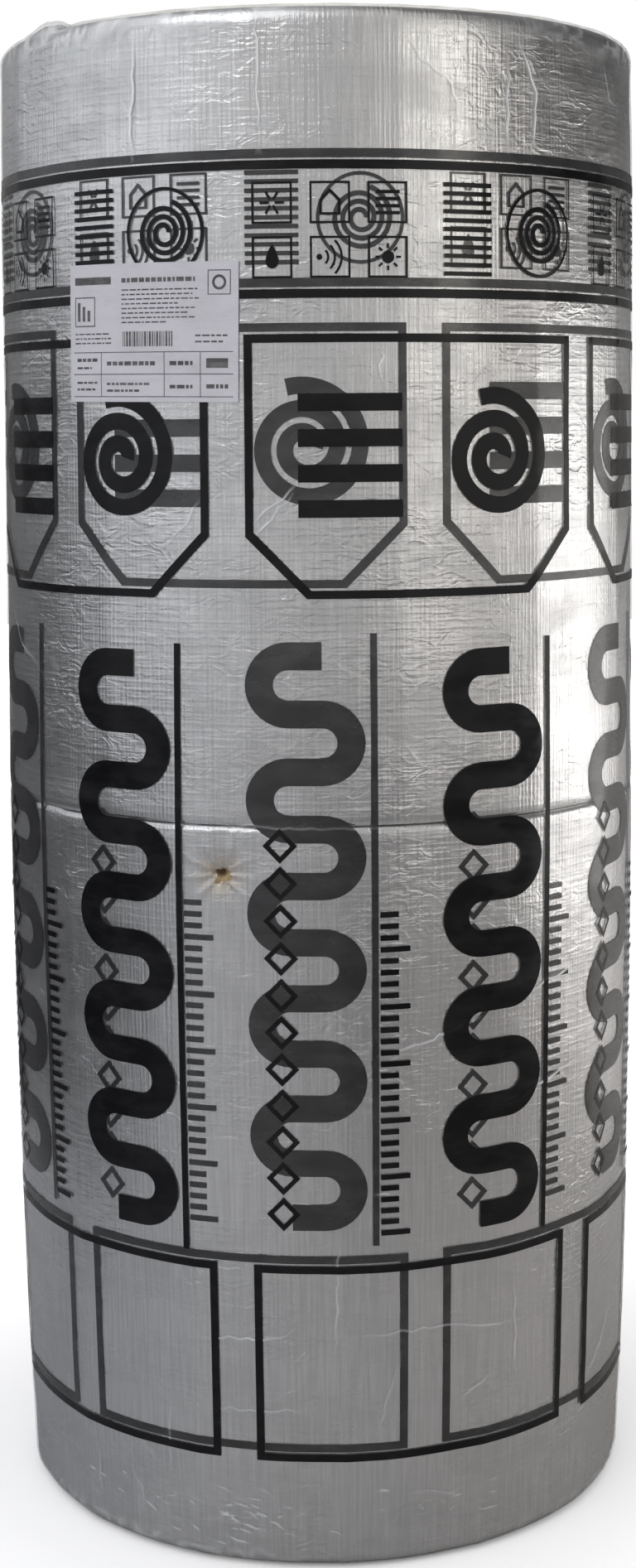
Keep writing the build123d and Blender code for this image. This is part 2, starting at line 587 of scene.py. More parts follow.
def bump(tree, shader, height, depth):
    """Relief too fine for the mesh; depth in metres."""
    made = add_node(tree, "ShaderNodeBump", {"Height": height, "Distance": depth, "Strength": 1.0})
    tree.links.new(made.outputs[0], shader.inputs["Normal"])


def distance_from(tree, arc, height):
    """Distance in metres from a place on the unrolled skin."""
    ends = {0: unrolled(tree), 1: (arc * MM, height * MM, 0)}
    return add_node(tree, "ShaderNodeVectorMath", ends, operation="DISTANCE").outputs["Value"]


# %% Foil
thread_up, thread_round = 0.0037, 0.0059
foil, tree, shader = new_material("foil_facing", (0.80, 0.80, 0.81), 0.40, 1.0)
creases = place_group(tree, fine_creases, Size=85.0, Sharpness=7.0)
rubbed = place_group(tree, scuffs, Size=22.0, Amount=1.0)
place = add_node(tree, "ShaderNodeSeparateXYZ", {0: unrolled(tree)})
wobble = calc(tree, "MULTIPLY", creases.outputs["Height"], 0.0010)


def threads(across, pitch):
    """Soft ridges of the thread net, one for each pitch."""
    turn = calc(tree, "MULTIPLY", calc(tree, "ADD", across, wobble), 2 * math.pi / pitch)
    wave = calc(tree, "COSINE", turn)
    return calc(tree, "POWER", calc(tree, "MULTIPLY_ADD", wave, 0.5, 0.5), 3.0)


upright, level = threads(place.outputs[0], thread_up), threads(place.outputs[1], thread_round)
net = calc(tree, "MULTIPLY_ADD", level, 0.45, calc(tree, "MULTIPLY", upright, 0.7))
brushed = grain(tree, 420.0, 1.0, 0.035)
crepe = grain(tree, 380.0, 0.11, 1.0)
patches = grain(tree, 11.0, 1.0, 1.3)
crumpled = spread(tree, patches, 0.44, 0.70, 0.16, 0.66)
creped = spread(tree, patches, 0.34, 0.60, 0.10, 0.42)
taut = calc(tree, "MULTIPLY_ADD", crumpled, -0.16, 0.20)
relief = calc(tree, "MULTIPLY", creases.outputs["Height"], crumpled)
for layer, share in ((net, taut), (brushed, 0.50), (crepe, creped)):
    relief = calc(tree, "MULTIPLY_ADD", layer, share, relief)
bump(tree, shader, relief, 0.0006)
dusty = spread(tree, distance_from(tree, puncture_arc, puncture_height), 0.024, 0.006, 0.0, 0.9)
dusty = calc(tree, "MULTIPLY", dusty, creases.outputs["Height"])
streaked = calc(tree, "MULTIPLY", rubbed.outputs["Mask"], 0.5)
streaked = calc(tree, "MULTIPLY_ADD", brushed, 1.1, streaked)
colour = mix(tree, streaked, (0.90, 0.90, 0.91, 1), (0.66, 0.66, 0.67, 1))
paint(tree, shader, dusty, colour, (0.66, 0.55, 0.42, 1))
worn = calc(tree, "MULTIPLY_ADD", rubbed.outputs["Mask"], 0.14, 0.24)
tree.links.new(worn, shader.inputs["Roughness"])

# %% Wool
wool, tree, shader = new_material("mineral_wool", (0.55, 0.43, 0.19), 0.95)
fibres = grain(tree, 520.0, 1.0, 0.12, 3.0, Roughness=0.65)
tufts = grain(tree, 60.0, 1.0, 0.5)
shade = calc(tree, "MULTIPLY_ADD", tufts, 0.5, calc(tree, "MULTIPLY", fibres, 0.7))
yellows = [(0.36, (0.30, 0.21, 0.07)), (0.55, (0.56, 0.43, 0.17)), (0.74, (0.74, 0.62, 0.32))]
# Wool in the puncture is painted browner, and nearly black in the middle of the pit: painted shade
# of the hole.
from_hole = distance_from(tree, puncture_arc - 0.5, puncture_height + 2)
near_hole = calc(tree, "MULTIPLY", spread(tree, from_hole, 0.016, 0.012), 0.75)
pit_shade = spread(tree, from_hole, 0.0060, 0.0030)
hole_shaded_wool = mix(tree, near_hole, ramp(tree, shade, yellows), (0.33, 0.24, 0.15, 1))
paint(tree, shader, pit_shade, hole_shaded_wool, (0.10, 0.060, 0.034, 1))
bump(tree, shader, calc(tree, "MULTIPLY_ADD", fibres, 0.7, tufts), 0.003)
print("materials:", foil.name, wool.name)

# %% [markdown]
# ## The two rolls
# Each roll is one closed mesh: the foil skin round the side, the cut edge of the wool on both ends,
# and the eye in the middle. The skin is cut flat, with the puncture as a jagged outline, and rolled
# up. On the ends the line between the turns is a spiral, the lamella joints are short lines across
# each turn, and a narrow strip of foil shows along the spiral, because the foil is the outer face
# of every turn.

# %% Sizes and relief of the foil
mat_length = 5000.0
eye_radius = 27.0
turn_pitch = math.pi * (pack_radius**2 - eye_radius**2) / mat_length
skin_step = 4.6
rim_round, seam_round = 10.0, 1.5
end_inset = 13.0
border_gap = 2.5
torn_seed, torn_radius = 5, 6.5
hole_depth, hole_reach = 5.0, 6
tuft_height, tuft_reach = 4.0, 3
star_step, edge_step = 2.0, 5


def ragged(arc, height, radius, seed, count=14):
    """Outline of a torn hole."""
    reach = radius * np.random.default_rng(seed).uniform(0.55, 1.35, count)
    angle = np.arange(count) * 2 * math.pi / count
    return spokes(arc, height, reach, angle)


def finer_star(loose, step):
    """The same points, but closer together round the puncture."""
    middle = np.array([puncture_arc, puncture_height])
    low, high = middle - star_reach, middle + star_reach
    close = honeycomb(low[0], high[0], low[1], high[1], step)
    near = np.hypot(*(close - middle).T) < star_reach
    far = np.hypot(*(loose - middle).T) > star_reach
    return np.concatenate([loose[far], close[near]])


def foil_out(arc, height):
    """How far the foil stands out of the pack's plain form."""
    folded = crumple(arc, height, 11, 16, 16, 95) - 0.6
    fine = crumple(arc, height, 17, 12, 9, 26) - 0.6
    deeper = 1 + 0.9 * np.clip((170 - height) / 90, 0, 1)
    gate = np.clip(0.55 + 0.9 * drift(arc, height, 19, 130, 90), 0.15, 1.2) * deeper
    by_foot = bell(height - 42, 26)
    worn = by_foot * np.clip(0.5 + 1.5 * drift(arc, height, 21, 80, 60), 0, 1)
    seam = -0.7 * bell(height - seam_height, 3.0)
    dent = -2.6 * bell(from_puncture(arc, height), dent_reach) + 2.0 * star(arc, height)
    crumpled = (folded + 0.35 * fine) * gate + 2.2 * fine * worn
    return np.clip(crumpled, -2.2, 0.3) + seam + dent


# %% Skin of one roll
def roll_skin(low, high, low_round, high_round):
    """Flat points, triangles, points in space and puncture triangles of one roll's foil."""
    stations = np.linspace(-half_girth, half_girth, 2 * round(half_girth / edge_step) + 1)
    bottom = low - low_round * (1 - math.pi / 2) - end_inset
    top = high + high_round * (math.pi / 2 - 1) + end_inset
    rises = np.linspace(bottom, top, round((top - bottom) / edge_step) + 1)
    left, right = (pairs(np.full_like(rises, side), rises) for side in (-half_girth, half_girth))
    foot_edge, top_edge = (pairs(stations, np.full_like(stations, end)) for end in (bottom, top))
    border = np.concatenate([foot_edge[:-1], right[:-1], top_edge[::-1][:-1], left[::-1][:-1]])
    loops, clearance = [border], 2.4
    loose = honeycomb(-half_girth, half_girth, bottom, top, skin_step)
    if low < puncture_height < high:
        hole = ragged(puncture_arc, puncture_height - 1.0, torn_radius, torn_seed)
        loops.append(dense(hole, 2.0))
        loose, clearance = finer_star(loose, star_step), 1.6
    inside = np.abs(loose[:, 0]) < half_girth - border_gap
    inside &= (loose[:, 1] > bottom + border_gap) & (loose[:, 1] < top - border_gap)
    flat, triangles, owners = triangulate(loops, [], loose[inside], clearance)
    keep = np.array([0 in owner for owner in owners])
    torn = np.array([1 in owner for owner in owners])[keep]
    triangles = triangles[keep]
    height, inward, tilt = skin_line(flat[:, 1], low, high, low_round, high_round)
    fade = np.clip(1 - inward / 10, 0, 1)
    out = foil_out(flat[:, 0], height) * fade + 5.0 * peak(flat[:, 0], inward, tilt)
    out = out - hole_depth * np.clip(1 - from_puncture(*flat.T) / hole_reach, 0, 1)
    from_tuft = np.hypot(flat[:, 0] - puncture_arc - 1.5, flat[:, 1] - puncture_height + 3.5)
    out = out + tuft_height * np.clip(1 - from_tuft / tuft_reach, 0, 1)
    return flat, triangles, wrap(flat[:, 0], height, inward, tilt, out), torn


# %% Ends of one roll
eye_corners, eye_rows = 72, 40
eye_angles = np.arange(eye_corners) * 2 * math.pi / eye_corners
end_step, hidden_step = 4.2, 16
groove_half, groove_depth = 2.2, 7.0


def turn_line(angle):
    """Radius of the line between two turns, at an angle that counts on from turn to turn."""
    return eye_radius + turn_pitch * angle / (2 * math.pi)


def roll_end(rim, level, way, detailed):
    """Points, triangles and marks of one end inside a ring of rim points; way is -1 at the foot."""
    eye = spokes(0, 0, eye_radius, eye_angles)
    loops, lines = [rim, eye], []
    reach = np.hypot(*rim.T).min()
    loose = honeycomb(-reach, reach, -reach, reach, end_step if detailed else hidden_step)
    away = np.hypot(*loose.T)
    loose = loose[(away > eye_radius + 2) & (away < reach - 2)]
    if detailed:
        last = (reach - 5 - eye_radius) / turn_pitch * 2 * math.pi
        angle = np.linspace(2 * math.pi, last, round(last * 26))
        for side in (-groove_half, 0.0, groove_half):
            lines.append(spokes(0, 0, turn_line(angle) + side, angle))
    flat, triangles, owners = triangulate(loops, lines, loose, 1.7)
    triangles = triangles[np.array([0 in owner and 1 not in owner for owner in owners])]
    radius, angle = np.hypot(*flat.T), np.arctan2(flat[:, 1], flat[:, 0]) % (2 * math.pi)
    turns = (radius - eye_radius) / turn_pitch - angle / (2 * math.pi)
    nearest = np.clip(np.round(turns), 1, None)
    from_line = (turns - nearest) * turn_pitch
    counted = 2 * math.pi * np.floor(turns) + angle
    along = eye_radius * counted + turn_pitch * counted**2 / (4 * math.pi)
    sunk = np.zeros_like(radius)
    if detailed:
        edge = np.clip((reach - radius) / 12, 0, 1) * np.clip((radius - eye_radius) / 3, 0, 1)
        groove = groove_depth * np.clip(1 - np.abs(from_line) / groove_half, 0, 1)
        crown = 2.4 * (2 * np.abs((turns % 1) - 0.5)) ** 2
        joint = np.abs((along / strip_width) % 1 - 0.5) * 2
        cleft = 3.0 * np.clip((joint - 0.94) / 0.06, 0, 1)
        rough = 1.1 * drift(flat[:, 0] * 3, flat[:, 1] + 500, 31, 24, 9)
        rough += 0.8 * drift(along, radius * 4, 37, 9, 60)
        step = 1.6 * np.sin(1.9 * np.floor(turns) + 0.5)
        sunk = (2.0 + np.maximum(groove, crown + cleft + rough) + step) * edge
    points = np.stack([flat[:, 0], flat[:, 1], level - way * np.maximum(sunk, 0)], axis=1) * MM
    middle = from_line[triangles].mean(axis=1)
    foil_edge = (middle < 0) & (middle > -2.3) & (turns[triangles].mean(axis=1) > 0.9) & detailed
    return points, triangles, pairs(along, radius), foil_edge


# %% Wall of the eye
def eye_wall(low, high):
    """Points, triangles and flat places of the wall of the eye."""
    rises = np.linspace(low, high, eye_rows + 1)
    ring = spokes(0, 0, eye_radius, eye_angles)
    points = np.array([(x, y, z) for z in rises for x, y in ring])
    triangles = []
    for row in range(eye_rows):
        for i in range(eye_corners):
            a, b = row * eye_corners + i, row * eye_corners + (i + 1) % eye_corners
            triangles += [(a, b, b + eye_corners), (a, b + eye_corners, a + eye_corners)]
    places = pairs(np.arctan2(points[:, 1], points[:, 0]) * eye_radius, points[:, 2])
    return points * MM, np.array(triangles), places


# %% One whole roll
def make_roll(name, low, high, low_round, high_round, low_open, high_open):
    """A closed roll; the open ends are those that can be seen."""
    flat, skin, points, torn = roll_skin(low, high, low_round, high_round)
    parts = [(points, skin, flat, np.where(torn, 1, 0))]
    for level, way, seen_end in ((low, -1, low_open), (high, 1, high_open)):
        edge_along = flat[:, 1].min() if way < 0 else flat[:, 1].max()
        on_edge = np.flatnonzero(np.abs(flat[:, 1] - edge_along) < 1e-3)
        on_edge = on_edge[np.argsort(flat[on_edge, 0])][:-1]
        *end, foil_edge = roll_end(points[on_edge, :2] / MM, level, way, seen_end)
        parts.append((*end, np.where(foil_edge, 0, 1)))
    wall = eye_wall(low, high)
    parts.append((*wall, np.ones(len(wall[1]), int)))
    starts = np.cumsum([0] + [len(part[0]) for part in parts])
    all_points = np.concatenate([part[0] for part in parts])
    faces = np.concatenate([part[1] + start for part, start in zip(parts, starts)])
    places = np.concatenate([part[2][part[1]] for part in parts])
    which = np.concatenate([part[3] for part in parts])
    return weld(make_piece(name, all_points, faces, places, [foil, wool], which))


roll_foot, roll_top = 1.4, pack_height - 1.0
lower_roll = make_roll("lower_mat_roll", roll_foot, seam_height, rim_round, seam_round, True, False)
upper_roll = make_roll("upper_mat_roll", seam_height, roll_top, seam_round, rim_round, False, True)
for piece, node in ((lower_roll, "mat_roll_lower"), (upper_roll, "mat_roll_upper")):
    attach(piece, "root")
    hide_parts(node)

# %% [markdown]
# ## The film and its folds
# Stretch film is a web about 1.3 m wide, wound twice round the rolls. Past the rims its spare width
# is gathered into pleats, because the mouth is a smaller ring than the rim. Film keeps every fold
# that handling gave it, and each fold is a thin ridge that catches the light. The folds are fixed
# lines of the flat triangulation, so that each is a real ridge in the mesh.

# %% Film sizes
film_turn_gap = 0.3
film_lap = 70.0
mouth_radius = 187.0
lip = pack_radius - rim_round - mouth_radius - 5.0
lip_start = rim_round * (math.pi / 2 - 1)
pleat_count = 46
pleat_height = 6.5
film_step, rim_step, lip_step, border_step = 7.4, 3.0, 4.6, 6.5
rim_band = 28.0
film_base = 0.42
film_foot, film_top = roll_foot - lip_start, roll_top + lip_start
foot_mouth, top_mouth = 73, 71


def pleat_turns(arc):
    """Count of pleats up to this place on the rim; a fold stands at each half."""
    return pleat_count * arc / (2 * half_girth) + 0.35 * drift(arc, 0 * arc, 41, 75, 100)


def pleats(arc):
    """Gathers of the film past the rim, from 0 in a valley to about 1 on a fold."""
    fold = 1 - np.abs(2 * (pleat_turns(arc) % 1) - 1)
    return fold**1.2 * (0.66 + 0.34 * drift(arc, 0 * arc, 43, 42, 100))


def mouth_edge(arc, seed):
    """Uneven length of the lip from the rim to its edge."""
    swing = 6 * drift(arc, 0 * arc, seed, 90, 100)
    return lip + swing + 3 * drift(arc, 0 * arc, seed + 1, 26, 100)


# %% Folds of the front
front_folds = [  # depth, and arc and height along each fold in millimetres, as in the photograph
    (1.8, [(-43, 1196), (-44, 1167), (-43, 1133), (-42, 1100)]),
    (1.7, [(-143, 1178), (-146, 1113), (-145, 1096)]),
    (1.8, [(162, 1183), (180, 1144), (179, 1125), (174, 1099)]),
    (1.6, [(153, 1168), (152, 1100)]),
    (0.6, [(-41, 1128), (-38, 1114), (-23, 1112)]),
    (0.5, [(66, 1188), (80, 1162), (104, 1146), (112, 1118)]),
    (0.5, [(120, 1190), (112, 1172), (121, 1160)]),
    (0.3, [(-258, 592), (-139, 599), (-55, 600), (0, 600), (113, 597), (237, 591)]),
    (0.5, [(64, 661), (75, 645), (88, 638)]),
    (1.1, [(42, 422), (61, 427), (85, 432), (104, 437), (125, 445)]),
    (1.1, [(113, 362), (147, 372), (164, 376), (182, 383), (210, 389), (250, 398)]),
    (1.0, [(167, 458), (195, 465), (227, 472)]),
    (0.7, [(40, 311), (52, 311)]),
    (0.9, [(-16, 857), (-34, 841), (-51, 826)]),
    (0.9, [(-19, 850), (-35, 831), (-50, 815)]),
    (0.8, [(-90, 845), (-104, 828), (-119, 808)]),
    (0.9, [(46, 956), (47, 943), (49, 929)]),
    (0.5, [(-65, 484), (-51, 487)]),
    (0.5, [(11, 281), (10, 227), (8, 176)]),
    (0.8, [(-106, 190), (-68, 192), (-35, 193), (-20, 207)]),
    (0.7, [(-92, 132), (-69, 134), (-47, 133), (-15, 136)]),
    (0.5, [(158, 235), (162, 189), (163, 137)]),
    (0.5, [(17, 196), (77, 199), (179, 188)]),
    (0.5, [(109, 132), (137, 152)]),
    (0.5, [(38, 107), (60, 178)]),
    (0.3, [(-210, 71), (-207, 28)]),
    (0.3, [(-128, 141), (-132, 63)]),
    (0.9, [(-76, 53), (-62, 50)]),
    (0.9, [(-69, 36), (-51, 33)]),
    (0.9, [(-80, 24), (-63, 20)]),
    (0.4, [(72, 62), (96, 57), (118, 58)]),
    (0.4, [(128, 38), (150, 35)]),
    (0.4, [(-170, 66), (-162, 50), (-158, 36)]),
]


# %% Folds by chance
def worn_patch(seed, count, arc, height, wide, tall):
    """Many small folds close together, where the pack was set down hard."""
    rng = np.random.default_rng(seed)
    folds = []
    for _ in range(count):
        middle = np.array([arc, height]) + rng.normal(0, 1, 2) * (wide, tall)
        slant, length = rng.normal(-0.12, 0.3), rng.uniform(5, 13)
        reach = np.array([math.cos(slant), math.sin(slant)]) * length / 2
        folds.append((rng.uniform(0.3, 0.7), [tuple(middle - reach), tuple(middle + reach)]))
    return folds


def stray_folds(seed, count):
    """Short folds of all directions on the sides and the back."""
    rng = np.random.default_rng(seed)
    folds = []
    while len(folds) < count:
        arc, height = rng.uniform(-790, 790), rng.uniform(40, 1160)
        if abs(arc) < 260:
            continue
        slant = rng.choice([0.1, 0.5, 1.5, 1.6, 2.6]) + rng.normal(0, 0.15)
        length = rng.uniform(25, 110)
        middle = np.array([arc, height]) + rng.normal(0, 5, 2)
        reach = np.array([math.cos(slant), math.sin(slant)]) * length / 2
        last = middle + reach + rng.normal(0, 6, 2)
        folds.append((0.55, [tuple(middle - reach), (arc, height), tuple(last)]))
    return folds


def crinkled(fold, rng):
    """A fold line that wanders a little, as a crease in film does."""
    line = dense(fold, 9.0, closed=False)
    line[1:-1] += rng.normal(0, 0.9, (len(line) - 2, 2))
    return line


def gathers(edge, way, seed):
    """Folds of the pleats from the rim to the mouth, and short creases that slant between them."""
    rng = np.random.default_rng(seed)
    arcs = np.arange(8 - half_girth, half_girth - 8, 0.25)
    crests = arcs[1:][np.diff(np.floor(pleat_turns(arcs) + 0.5)) > 0]
    lines = []
    for arc in crests:
        first, last = rng.uniform(-4, 10), (lip - 5) * rng.uniform(0.7, 1.0)
        sway = arc + rng.normal(0, 1)
        line = [(arc, edge + way * first), (sway, edge + way * last / 2), (arc, edge + way * last)]
        lines.append((0.9, line))
    for arc in rng.uniform(20 - half_girth, half_girth - 20, 56):
        first, rise, slant = rng.uniform(4, 36), rng.uniform(8, 22), rng.uniform(-24, 24)
        lines.append((0.7, [(arc, edge + way * first), (arc + slant, edge + way * (first + rise))]))
    return lines


# %% All folds of the film
fold_draw = np.random.default_rng(63)
side_folds = front_folds + stray_folds(61, 54) + worn_patch(81, 26, -70, 43, 22, 11)
side_folds += worn_patch(83, 14, 60, 45, 70, 14) + worn_patch(85, 12, -160, 40, 40, 12)
rim_folds = gathers(film_foot, -1, 64) + gathers(film_top, 1, 65)


def all_crinkled(some_folds):
    """The same folds with lines that wander."""
    return [(depth, crinkled(np.array(fold, float), fold_draw)) for depth, fold in some_folds]


folds = [
    (depth, fold) for depth, fold in all_crinkled(side_folds)
    if fold[:, 1].max() < 1198 and fold[:, 1].min() > 12
]
folds += all_crinkled(rim_folds)
print("folds in the film:", len(folds))

# %% Ridges of the folds
fold_width = 1.5
edge_band = 1.8


def from_fold(points, fold):
    """Distance of each point from one fold line."""
    nearest = np.full(len(points), 1e9)
    for start, stop in zip(fold[:-1], fold[1:]):
        run = stop - start
        share = np.clip(((points - start) @ run) / (run @ run), 0, 1)
        nearest = np.minimum(nearest, np.hypot(*(points - start - share[:, None] * run).T))
    return nearest


def fold_ridge(points, fold, depth):
    """Share of a full fold at each point: a thin ridge that fades out at both ends."""
    ends = np.minimum(np.hypot(*(points - fold[0]).T), np.hypot(*(points - fold[-1]).T))
    length = np.hypot(*np.diff(fold, axis=0).T).sum()
    uneven = 0.68 + 0.32 * drift(points[:, 0], points[:, 1], 69, 14, 14)
    fade = np.clip(ends / (0.3 * length), 0.15, 1)
    across = np.clip(1 - from_fold(points, fold) / fold_width, 0, 1)
    return np.minimum(depth * fade * uneven, 1) * across


# %% How far the film stands out
def film_out(arc, height, inward, tilt, layer):
    """Distance of one turn of film from the plain form; the web winds out as it goes round."""
    wound = layer + (arc + half_girth) / (2 * half_girth)
    slack = 0.32 * np.clip(drift(arc, height, 51, 60, 16) + 0.1, 0, 1)
    slack += 0.36 * np.clip(drift(arc, height, 53, 17, 90), 0, 1) ** 2
    slack += 0.4 * np.clip(crumple(arc, height, 57, 10, 30, 140) - 0.5, 0, 1)
    if layer:
        slack += 0.22 * np.clip(drift(arc, height, 59, 34, 30), 0, 1)
    seam = -0.3 * bell(height - seam_height, 6)
    dent = -2.0 * bell(from_puncture(arc, height), dent_reach) + 2.0 * star(arc, height)
    rim = np.clip(np.abs(tilt) / (math.pi / 2), 0, 1)
    pucker = (1.3 * by_rim(height) + 0.9 * rim) * crumple(arc, height + inward, 67, 12, 14, 50)
    raised = 6.0 * peak(arc, inward, tilt)
    past = np.clip((inward - 0.4 * rim_round) / lip, 0, None)
    gathered = pleat_height * np.minimum(past, 1.1) * pleats(arc) * np.where(tilt > 0, 1.0, -0.75)
    on_side = (slack + seam + dent) * (1 - rim)
    on_rim = pucker * np.clip(1 + 3.3 * tilt, -1, 1) * 0.7
    return film_base + film_turn_gap * wound + on_side + on_rim + raised + gathered


# %% [markdown]
# ## The print
# The web is printed with one pattern that repeats every 300 mm. The girth of the pack is five and a
# half repeats, so the inner turn shows half a repeat away from the outer one, grey because the
# outer film lies over it. The pattern is plain maker's ornament: rings, frames, the wavy line that
# stands for insulation on drawings, a wound roll, ruler ticks and small signs in boxes. Every shape
# is a list of outlines, and a point is inked where it lies in an odd number of them.

# %% Outlines for the print
def box(left, right, low, high):
    """A rectangle."""
    return np.array([(left, low), (right, low), (right, high), (left, high)], float)


def frame_of(left, right, low, high, stroke):
    """An empty rectangle with a stroke of this width."""
    inner = box(left + stroke, right - stroke, low + stroke, high - stroke)
    return [box(left, right, low, high), inner]


def disc(across, up, radius, corners=40):
    """A circle."""
    angle = np.arange(corners) * 2 * math.pi / corners
    return spokes(across, up, radius, angle)


def stripe(line, stroke):
    """A line drawn with a broad pen."""
    points = np.asarray(line, float)
    return np.concatenate([beside(points, stroke / 2), beside(points, -stroke / 2)[::-1]])


def wavy(middle, low, high, width, stroke, runs):
    """Insulation wave: level runs joined by round bends, going up a column."""
    rise = (high - low - stroke) / (runs - 1)
    bend = rise / 2
    reach = (width - stroke) / 2 - bend
    points = []
    for run in range(runs):
        way = 1 if run % 2 == 0 else -1
        level = low + stroke / 2 + run * rise
        points += [(middle + way * x, level) for x in np.linspace(-reach, reach, 6)]
        if run < runs - 1:
            angle = np.linspace(-math.pi / 2, math.pi / 2, 19)[1:-1]
            for a in angle:
                across = middle + way * (reach + bend * math.cos(a))
                points.append((across, level + bend + bend * math.sin(a)))
    return stripe(points, stroke)


def coil(across, up, inner, outer, stroke, turns):
    """End view of a wound roll."""
    angle = np.linspace(0, 2 * math.pi * turns, round((18 + 0.8 * outer) * turns))
    radius = np.linspace(inner, outer, len(angle)) - stroke / 2
    return stripe(spokes(across, up, radius, angle), stroke)


# %% Small signs in boxes
def sign_drop(x, z):
    """A drop of water."""
    angle = np.linspace(0.0, 2 * math.pi, 24, endpoint=False)
    wide = 6.5 * np.sin(angle) * np.sin(angle / 2) ** 1.2
    return [pairs(x + wide, z + 1 + 9 * np.cos(angle))]


def sign_cold(x, z):
    """A star of ice."""
    arms = []
    for angle in (0.0, math.pi / 3, 2 * math.pi / 3):
        reach = np.array([math.cos(angle), math.sin(angle)]) * 9
        gap = reach / 9 * 2.2
        for way in (-1, 1):
            arms.append(stripe([np.array([x, z]) + way * gap, np.array([x, z]) + way * reach], 1.8))
    return arms


def sign_sound(x, z):
    """Waves of sound."""
    angle = np.linspace(-0.8, 0.8, 12)
    waves = [stripe(spokes(x - 8, z, radius, angle), 1.7) for radius in (6.5, 11.5, 16.5)]
    return [disc(x - 8, z, 2.2, 14)] + waves


def sign_house(x, z):
    """A house."""
    outer = np.array([(-8, -9), (8, -9), (8, 2), (0, 10), (-8, 2)], float)
    return [outer + (x, z), outer * 0.74 + (x, z - 0.6)]


def sign_sun(x, z):
    """A sun with rays."""
    rays = [disc(x, z, 4.6, 22)]
    for angle in np.arange(8) * math.pi / 4:
        way = np.array([math.cos(angle), math.sin(angle)])
        rays.append(stripe([np.array([x, z]) + way * 6.2, np.array([x, z]) + way * 9.6], 1.6))
    return rays


def sign_bars(x, z):
    """Four level bars."""
    return [box(x - 9, x + 9, z + k * 5.0 - 1.2, z + k * 5.0 + 1.2) for k in (-1.5, -0.5, 0.5, 1.5)]


signs = [sign_drop, sign_cold, sign_sound, sign_house, sign_sun, sign_bars]

# %% One repeat of the print
repeat = 2 * half_girth / 5.5
ring_stroke, frame_stroke = 6.5, 6.2


def chamfered(left, right, low, high, cut):
    """A rectangle whose lower corners are cut off."""
    foot = [(left + cut, low), (right - cut, low), (right, low + cut)]
    return np.array(foot + [(right, high), (left, high), (left, low + cut)], float)


def diamond(across, up, wide, tall):
    """A square on its corner."""
    corners = [(across - wide, up), (across, up - tall), (across + wide, up), (across, up + tall)]
    return np.array(corners, float)


def one_repeat(start, raised):
    """Shapes of one repeat of the web, from this arc on; each shape is a list of outlines."""
    shapes = []
    for column in range(3):
        for row in range(2):
            x, z = start + 22 + 43 * column, 1021 + 39 * row
            shapes.append(frame_of(x - 15, x + 15, z - 15, z + 15, 1.6))
            shapes.append(signs[column * 2 + row](x, z))
    shapes.append([box(start + 152, start + 192, z, z + 3.2) for z in np.arange(1008, 1076, 6.4)])
    shapes.append([disc(start + 238, 1041, 33, 60), disc(start + 238, 1041, 30.4, 60)])
    shapes.append([coil(start + 238, 1041, 6, 25, 3.6, 3.2)])
    inner = chamfered(start + 6.2, start + 265.8, 778.2, 959.8, 43)
    shapes.append([chamfered(start, start + 272, 772, 966, 46), inner])
    shapes.append([coil(start + 196, 876, 13, 52, 12.5, 2.3)])
    shapes.append([box(start + 40, start + 118, z, z + 13) for z in (832, 858, 884, 910)])
    shapes.append([wavy(start + 194, 275, 732, 90, 21, 11)])
    shapes.append([box(start + 243, start + 248, 262, 738)])
    ticks = []
    for number, z in enumerate(np.arange(278, 536, 9.0)):
        ticks.append(box(start + 99, start + (122 if number % 5 == 0 else 113), z, z + 4.2))
    shapes.append(ticks)
    for z in np.arange(296, 592, 29.0):
        shapes.append([diamond(start + 24, z, 13, 13.5), diamond(start + 24, z, 8, 8.3)])
    shapes.append(frame_of(start, start + 271, 92, 254, frame_stroke))
    return [[outline + (0, raised) for outline in shape] for shape in shapes]


# %% Print of one whole turn
def web_print(first_arc, raised, sheet_left, sheet_right):
    """All shapes of one turn of the web."""
    shapes, half = [], ring_stroke / 2
    for z in (1087.0 + raised, 995.0 + raised):
        shapes.append([box(sheet_left - 2, sheet_right + 2, z - half, z + half)])
    for count in range(-4, 5):
        start = first_arc + count * repeat
        if start < sheet_right and start + repeat > sheet_left:
            shapes += one_repeat(start, raised)
    return shapes


print("repeat of the print in mm:", round(repeat, 1))

# %% [markdown]
# ## Clear film and ink
# Clear film is nearly invisible where it lies flat: it shows as a faint mirror, stronger at a
# glancing angle, and as a white line at each fold. So the film is a pale, half mirroring surface
# that is almost fully see-through, and the Layer Weight node makes it more solid at the sides.

# %% Film and ink materials
def clear_film(name, veil, edge_veil, mirror, roughness):
    """See-through film; veil is how solid it is face on."""
    material, tree, shader = new_material(name, (0.93, 0.94, 0.95), roughness, mirror)
    facing = add_node(tree, "ShaderNodeLayerWeight", {"Blend": 0.25}).outputs["Facing"]
    glancing = calc(tree, "POWER", facing, 2.5)
    fold_mark = add_node(tree, "ShaderNodeAttribute", attribute_name="fold").outputs["Fac"]
    streaks = place_group(tree, scuffs, Size=60.0, Amount=0.6 * veil)
    solid = calc(tree, "MULTIPLY_ADD", glancing, edge_veil, veil)
    solid = calc(tree, "MULTIPLY_ADD", fold_mark, 0.9, solid)
    solid = calc(tree, "ADD", solid, streaks.outputs["Mask"])
    solid = add_node(tree, "ShaderNodeClamp", {0: solid}).outputs[0]
    tree.links.new(solid, shader.inputs["Alpha"])
    tree.links.new(calc(tree, "MULTIPLY_ADD", fold_mark, -mirror, mirror), shader.inputs["Metallic"])
    return material


inner_film = clear_film("clear_film_inner", 0.02, 0.06, 0.85, 0.25)
outer_film = clear_film("clear_film_outer", 0.06, 0.32, 0.75, 0.16)

